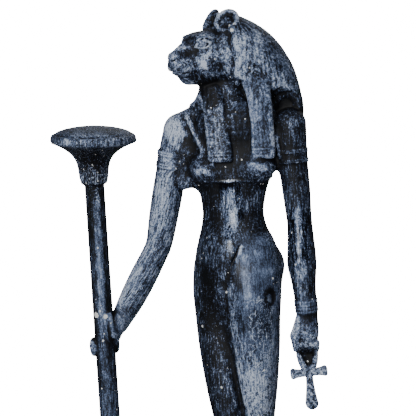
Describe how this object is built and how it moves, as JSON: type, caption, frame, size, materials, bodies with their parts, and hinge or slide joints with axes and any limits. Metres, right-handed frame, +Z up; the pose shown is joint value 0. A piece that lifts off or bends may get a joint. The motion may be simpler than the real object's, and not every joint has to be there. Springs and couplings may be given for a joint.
{
  "type": "lioness-headed goddess statuette",
  "caption": "Cast statuette of a standing lioness-headed goddess in a long wig, holding a papyrus sceptre and an ankh, on a low plinth.",
  "frame": {"origin": "middle of the plinth's underside", "axes": "+Z up, the figure faces -Y, her own left is +X"},
  "size_m": [0.1119, 0.094, 0.3051],
  "materials": {
    "painted_cast_stone": "black paint dry-brushed with pale blue-grey over cast stone powder, satin"
  },
  "bodies": {
    "root": {"statue": "painted_cast_stone"}
  },
  "joints": []
}
